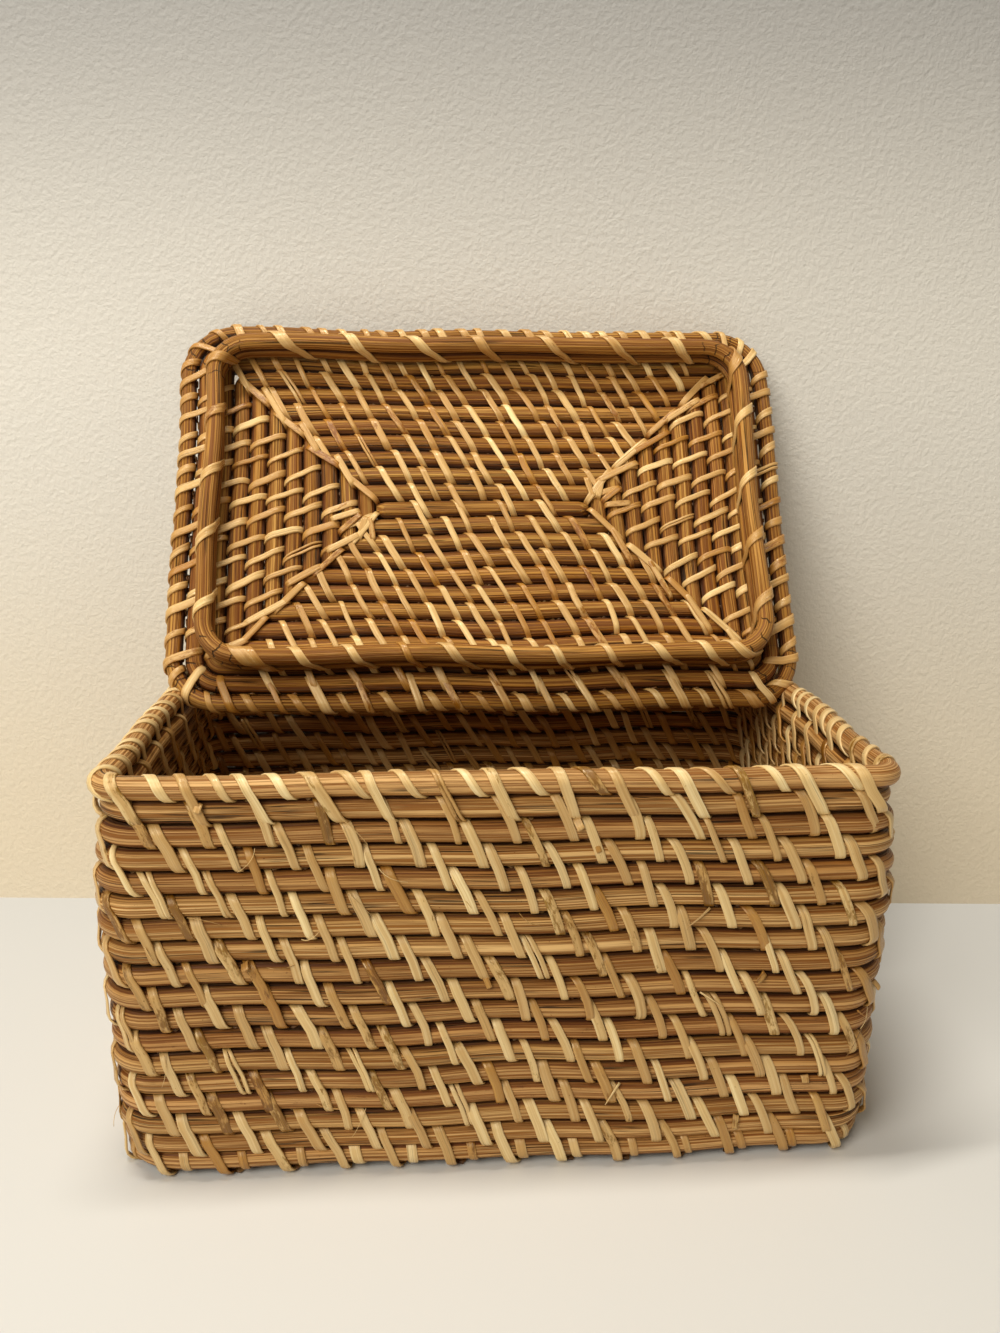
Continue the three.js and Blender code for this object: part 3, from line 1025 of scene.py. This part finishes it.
def add_wall_lashing(row, index, count, fit):
    """The strips that bind one wall row to the row below it, outside and inside."""
    centres = spaced(row, count, -index * WALL_SHIFT)
    between = centres - STITCH_SPACING / 2
    outside = stitches(row, centres, {**fit, **LASHINGS["wall_outside"]})
    inside = stitches(row, between, {**fit, **LASHINGS["wall_inside"], "outward": inward})
    make_piece(f"wall_lashing_{index + 1:02d}", "box", "wall_strip", *join_meshes((outside, inside)))


def away_from_bend(ring, centres):
    """Leaves out the stitches in the middle of the front right bend, where the rim's cane is bare."""
    middle = ring.starts[1] + ring.lengths[1] / 2
    return centres[np.abs(np.mod(centres, ring.length) - middle) > RIM_BARE / 2]


def add_rim_wraps(rim, index, count, fit):
    """The rim's strips, alternately long ones over two rows and short slanting ones round the rim alone."""
    centres = spaced(rim, count, -index * WALL_SHIFT)
    between = centres - STITCH_SPACING * RIM_SHORT_PLACE
    long = stitches(rim, away_from_bend(rim, centres), {**fit, **LASHINGS["rim_long"]})
    short = stitches(rim, away_from_bend(rim, between), {**fit, **LASHINGS["rim_short"]})
    piece = make_piece("rim_wraps", "box", "wall_strip", *join_meshes((long, short)))
    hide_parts("rim_binding_front", "rim_binding_right", "rim_binding_back", "rim_binding_left")


def add_foot_wraps(bottom, count, fit):
    """Short strips round the bottom row alone, which bind it to the base."""
    centres = spaced(bottom, count, FOOT_WRAP_START)
    make_piece("foot_wraps", "box", "wall_strip", *stitches(bottom, centres, {**fit, **LASHINGS["foot"]}))


# Loose ends

def loose_strips(roots, normals, runs, rises, options):
    """Free-standing slivers. Each runs off sideways from its root and stands out from the cane."""
    count = len(roots)
    share = np.linspace(0, 1, LOOSE_STEPS)
    stand = options["stand"] * rng.uniform(*LOOSE_STANDS, (count, 1)) * np.sin(share * options["arch"])
    curl = options["curl"] * rng.normal(0, 1, (count, 1)) * share**2
    length = options["length"] * rng.uniform(*LOOSE_LENGTHS, (count, 1)) * share
    points = roots[:, None] + runs[:, None] * length[..., None] + rises[:, None] * curl[..., None]
    points = points + normals[:, None] * stand[..., None]
    widths = options["width"] * rng.uniform(*LOOSE_WIDTHS, (count, 1)) * (1 - options["taper"] * share)
    thick = np.full(count, options["thickness"])
    tones = np.clip(rng.normal(options["tone"], LOOSE_TONE_SPREAD, count), 0, 1)
    faces = np.repeat(normals[:, None], LOOSE_STEPS, 1)
    return strip_mesh(points, faces, widths, thick, tones, rng.random(count), np.zeros(LOOSE_STEPS))


def scattered_roots(rows, radius, count, gap):
    """Random places in the gaps between rows, with the directions out of the wall and along it."""
    roots, normals, runs = [], [], []
    for _ in range(count):
        row = rows[rng.integers(LOWEST_LOOSE_ROW, len(rows))]
        point, normal = row.at(np.array([rng.uniform(0, row.length)]))
        depth = UP * radius * rng.uniform(*LOOSE_DEPTHS)
        roots.append(point[0] + normal[0] * radius * gap - depth)
        normals.append(normal[0])
        runs.append(np.cross(UP, normal[0]))
    return np.array(roots), np.array(normals), np.array(runs)


def add_loose_ends(rows, radius):
    """Fine fibres, torn slivers and cut ends that stick out of the outside of the walls."""
    parts = []
    for kind in LOOSE_ENDS:
        roots, normals, runs = scattered_roots(rows, radius, kind["count"], kind["gap"])
        slope = rng.normal(kind["slope"], LOOSE_SLOPE_SPREAD, len(roots))[:, None]
        sense = rng.choice((-1, 1), len(roots))[:, None]
        ways = runs * np.cos(slope) * sense - UP * np.sin(slope)
        across = runs * np.sin(slope) * sense + UP * np.cos(slope)
        parts.append(loose_strips(roots, normals, ways, across, kind))
    make_piece("wall_loose_ends", "box", "wall_strip", *join_meshes(parts))


# Flat nests of rounds: the base and the lid

def side_centres(ring, side, shift, margin):
    """Distances round a round of the stitches on one straight side."""
    half = ring.lengths[2 * side] / 2 - margin
    first = -half + (shift + half) % NEST_SPACING
    return ring.on_side(side, np.arange(first, half, NEST_SPACING))


def nest_stitches(rounds, number, pitch, radius, lashing):
    """Strips that bind a round to the next one in, on both faces, and the innermost on its long sides."""
    ring = rounds[number]
    parts = []
    for side in LONG_SIDES if ring is rounds[-1] else ALL_SIDES:
        lean, shift = NEST_LEANS[side % 2], (number - 1) * NEST_SHIFTS[side % 2]
        for turned, outward in ((1, downward), (-1, upward)):
            centres = side_centres(ring, side, turned * shift, pitch * NEST_MARGIN)
            fit = {"radius": radius, "pitch": pitch, "outward": outward, "stack": sideways}
            if len(centres):
                parts.append(stitches(ring, centres, {**fit, **LASHINGS[lashing], "lean": turned * lean}))
    return parts


def flat_strips(height, radius, laid):
    """Strips on the faces of a flat nest, their ends tucked in between the canes.

    laid holds each strip's face, middle, heading, length and width."""
    share = np.linspace(-0.5, 0.5, FLAT_STEPS)
    dive = np.clip((np.abs(share) - DIVE_START) / DIVE_LENGTH, 0, 1) ** 2
    lift = radius * (FLAT_HEIGHT - DIVE_DEPTH * dive) + FLAT_OVERLAP * (0.5 - share) * (1 - dive)
    lines, faces, widths = [], [], []
    for face, middle, heading, length, width in laid:
        away = np.array((math.cos(heading), math.sin(heading)))
        flat = middle + away * (length * share[:, None])
        lines.append(np.column_stack((flat, height + face * lift)))
        faces.append(np.tile((0.0, 0.0, float(face)), (FLAT_STEPS, 1)))
        widths.append(STRIP_WIDTH * width * (1 - FLAT_TAPER * np.abs(2 * share) ** 3))
    count = len(lines)
    thick = np.full(count, STRIP_THICKNESS)
    tones = np.clip(rng.normal(FLAT_TONE, FLAT_TONE_SPREAD, count), 0, 1)
    # The dives also set the painted shade on the strip ends that go in between the canes
    return strip_mesh(
        np.array(lines), np.array(faces), np.array(widths), thick, tones, rng.random(count), dive,
    )


def mitre_strips(rounds):
    """Strips laid end over end along the four lines where the flat rounds bend sharply."""
    inner, outer = rounds[-1], rounds[2]
    spacing = (rounds[2].half[0] - rounds[3].half[0]) * math.sqrt(2)
    laid = []
    for start, end in zip(inner.corners, outer.corners):
        heading = math.atan2(*(end - start)[::-1])
        away = np.array((math.cos(heading), math.sin(heading)))
        aside = np.array((-away[1], away[0]))
        reach = np.linalg.norm(end - start) + MITRE_ENDS[1]
        for face in (-1, 1):
            for number, along in enumerate(np.arange(MITRE_ENDS[0], reach, spacing)):
                drift = MITRE_DRIFTS[number % 2] + rng.normal(0, MITRE_DRIFT_SPREAD)
                slant = MITRE_SLANTS[number % 2] + rng.normal(0, MITRE_SLANT_SPREAD)
                length = MITRE_LENGTH * rng.uniform(*MITRE_LENGTH_SHARES)
                middle = start + away * along + aside * drift
                laid.append((face, middle, heading + slant, length, rng.uniform(*MITRE_WIDTHS)))
    return laid


def fan_strips(ring):
    """Strips that spread out to one side from each end of the straight cane in the middle."""
    laid = []
    for end in (-1, 1):
        tip = ring.centre[:2] + np.array((end * (ring.half[0] - FAN_INSET), 0))
        for face in (-1, 1):
            for turn in FAN_TURNS:
                heading = math.radians(rng.normal(-turn, FAN_TURN_SPREAD)) + (math.pi if end < 0 else 0)
                away = np.array((math.cos(heading), math.sin(heading)))
                length = FAN_LENGTH * rng.uniform(*FAN_LENGTH_SHARES)
                laid.append((face, tip + away * (FAN_START + length / 2), heading, length, FAN_WIDTH))
    return laid


def build_base():
    rounds = [Round("wall_row_01", "box"), *read_rounds("base_round_", "box")]
    pitch = rounds[1].half[1] - rounds[2].half[1]
    radius = pitch / 2
    height = radius + FOOT_GAP
    for ring, rounder in zip(rounds[1:], FOOT_ROUNDER[1:]):
        ring.round_off(rounder)
    for number, ring in enumerate(rounds[1:], 1):
        ring.centre[2] = height
        tone = rng.uniform(*CANE_TONES["base"])
        add_cane(ring, radius, "base_cane", ("in", "out"), tone, f"base_cane_{number:02d}")
    add_centre_cane("base_centre_cane", "box", "base_cane", radius, "base_cane_centre", height)
    parts = []
    for number in range(1, len(rounds)):
        parts += nest_stitches(rounds, number, pitch, radius, "base")
    parts.append(flat_strips(height, radius, mitre_strips(rounds)))
    make_piece("base_lashing", "box", "wall_strip", *join_meshes(parts))


def build_lid():
    rounds = [Round("lid_edge_cane", "lid"), *read_rounds("lid_round_", "lid")]
    edge = rounds[0]
    pitch = rounds[1].half[1] - rounds[2].half[1]
    radius = pitch / 2
    add_cane(edge, edge.thickness / 2, "lid_cane", ("in",), LID_EDGE_TONE, "lid_cane_01")
    for number, ring in enumerate(rounds[1:], 2):
        tone = rng.uniform(*CANE_TONES["lid"])
        add_cane(ring, radius, "lid_cane", ("in", "out"), tone, f"lid_cane_{number:02d}")
    add_centre_cane("lid_centre_cane", "lid", "lid_cane", radius, "lid_cane_centre")
    for number in range(1, len(rounds)):
        parts = nest_stitches(rounds, number, pitch, radius, "lid")
        make_piece(f"lid_lashing_{number:02d}", "lid", "lid_strip", *join_meshes(parts))
    level = edge.centre[2]
    make_piece("lid_mitre_strips", "lid", "lid_strip", *flat_strips(level, radius, mitre_strips(rounds)))
    make_piece("lid_fan_strips", "lid", "lid_strip", *flat_strips(level, radius, fan_strips(rounds[-1])))
    add_lid_edge_wraps(edge, pitch, radius)
    add_locating_ring()


def add_lid_edge_wraps(edge, pitch, radius):
    """The strips over the lid's edge, alternately over two rounds and over the edge round alone."""
    centres = spaced(edge, round(edge.length / NEST_SPACING), 0)
    fit = {"pitch": pitch, "outward": downward, "stack": sideways}
    thin = edge.thickness / 2
    over_two = {**fit, **LASHINGS["edge_long"], "radius": (radius + thin) / 2}
    over_edge = {**fit, **LASHINGS["edge_short"], "radius": thin}
    long = stitches(edge, centres, over_two)
    short = stitches(edge, centres + NEST_SPACING / 2, over_edge)
    piece = make_piece("lid_edge_wraps", "lid", "lid_strip", *join_meshes((long, short)))
    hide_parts(*(f"lid_binding_{side}" for side in ("front", "right", "back", "left")))


def add_locating_ring():
    """The two canes under the lid that drop inside the rim, with wide lashings."""
    upper, lower = read_rounds("locating_ring_cane_", "lid")
    radius = upper.thickness / 2
    pitch = 2 * radius
    lower.centre[2] = upper.centre[2] - pitch
    for number, (cane, touching) in enumerate(((upper, ("up", "down")), (lower, ("up",))), 1):
        cane.step_out(RING_WIDER, 0.0)
        cane.push_front(RING_FARTHER)
        add_cane(cane, radius, "lid_cane", touching, RING_CANE_TONE, f"ring_cane_{number}")
    centres = spaced(lower, round(lower.length / RING_SPACING), 0)
    place = centres % lower.length
    at_back = (place > lower.starts[4]) & (place < lower.starts[5])
    half = lower.lengths[4] / 2
    close = lower.on_side(2, np.arange(-half, half, RING_CLOSE_SPACING) + RING_CLOSE_SPACING / 2)
    fit = {"radius": radius, "pitch": pitch, "direction": -1, "outward": sideways, "stack": downward}
    wide = stitches(lower, centres[~at_back], {**fit, **LASHINGS["ring_wide"]})
    narrow = stitches(lower, close, {**fit, **LASHINGS["ring_close"]})
    make_piece("ring_lashing", "lid", "lid_strip", *join_meshes((wide, narrow)))


# Stage and light

def stage_plane(name, corners, material):
    mesh = bpy.data.meshes.new(name)
    mesh.from_pydata(corners, [], [(0, 1, 2, 3)])
    mesh.materials.append(material)
    add_object(name, mesh)


def seen_rays(tree):
    """1 for rays that show a picture of the backdrop, 0 for rays that only carry light."""
    rays = add_node(tree, "ShaderNodeLightPath").outputs
    clear = math_node(tree, "MAXIMUM", rays["Is Glossy Ray"], rays["Is Transmission Ray"])
    return math_node(tree, "MAXIMUM", rays["Is Camera Ray"], clear)


def plaster_material():
    """A pale wall that is there for the eye alone: light and looks from behind pass through it."""
    material = bpy.data.materials.new("pale_plaster")
    material.use_nodes = True
    tree = material.node_tree
    wall = tree.nodes["Principled BSDF"]
    wall.inputs["Roughness"].default_value = PLASTER_ROUGHNESS
    place = add_node(tree, "ShaderNodeTexCoord").outputs["Object"]
    height = add_node(tree, "ShaderNodeSeparateXYZ", inputs={"Vector": place}).outputs["Z"]
    # Painted light and shade: the wall is pale and warm at its foot and darker and grey at its top
    low, middle, top = WALL_HEIGHTS
    colour = mix_colour(tree, spread(tree, height, low, middle), WALL_COLOUR, WALL_MIDDLE_COLOUR)
    colour = mix_colour(tree, spread(tree, height, middle, top), colour, WALL_TOP_COLOUR)
    tree.links.new(colour, wall.inputs["Base Color"])
    grit = scaled_noise(tree, place, *PLASTER_GRIT)
    bump = add_node(tree, "ShaderNodeBump", inputs={**PLASTER_BUMP, "Height": grit})
    tree.links.new(bump.outputs[0], wall.inputs["Normal"])
    front = minus(tree, 1.0, add_node(tree, "ShaderNodeNewGeometry").outputs["Backfacing"])
    clear = add_node(tree, "ShaderNodeBsdfTransparent")
    shown = times(tree, seen_rays(tree), front)
    mixed = add_node(
        tree, "ShaderNodeMixShader", inputs={0: shown, 1: clear.outputs[0], 2: wall.outputs[0]},
    )
    tree.links.new(mixed.outputs[0], tree.nodes["Material Output"].inputs["Surface"])
    return material


def floor_material():
    material = bpy.data.materials.new("pale_floor")
    material.use_nodes = True
    shader = material.node_tree.nodes["Principled BSDF"]
    shader.inputs["Base Color"].default_value = FLOOR_COLOUR
    shader.inputs["Roughness"].default_value = FLOOR_ROUGHNESS
    return material


def add_stage():
    reach = STAGE_REACH
    flat = [(-reach, -reach, 0), (reach, -reach, 0), (reach, reach, 0), (-reach, reach, 0)]
    stage_plane("floor", flat, floor_material())
    turn = Matrix.Rotation(CAMERA_TURN, 3, "Z")
    away, across = turn @ Vector((0, WALL_GAP, 0)), turn @ Vector((reach, 0, 0))
    rise = Vector((0, 0, reach))
    upright = [away - across, away + across, away + across + rise, away - across + rise]
    stage_plane("backdrop", upright, plaster_material())


def add_lamp(name, place, size, power, colour):
    data = bpy.data.lights.new(name, "AREA")
    data.shape = "ELLIPSE"
    data.size, data.size_y = size
    data.energy = power
    data.color = colour
    lamp = add_object(name, data)
    lamp.location = place
    lamp.rotation_euler = (Vector(LAMP_TARGET) - Vector(place)).to_track_quat("-Z", "Y").to_euler()


def add_light():
    world = bpy.data.worlds.new("world")
    world.use_nodes = True
    tree = world.node_tree
    light = tree.nodes["Background"]
    light.inputs["Color"].default_value = SKY_COLOUR
    light.inputs["Strength"].default_value = SKY_STRENGTH
    seen = add_node(tree, "ShaderNodeBackground", inputs={"Color": WALL_COLOUR, "Strength": 1.0})
    mixed = add_node(
        tree, "ShaderNodeMixShader",
        inputs={0: seen_rays(tree), 1: light.outputs[0], 2: seen.outputs[0]},
    )
    tree.links.new(mixed.outputs[0], tree.nodes["World Output"].inputs["Surface"])
    bpy.context.scene.world = world
    for name, lamp in LAMPS.items():
        add_lamp(name, **lamp)
    bpy.context.scene.view_settings.view_transform = "Standard"


add_camera()
build_walls()
build_base()
build_lid()
add_stage()
add_light()
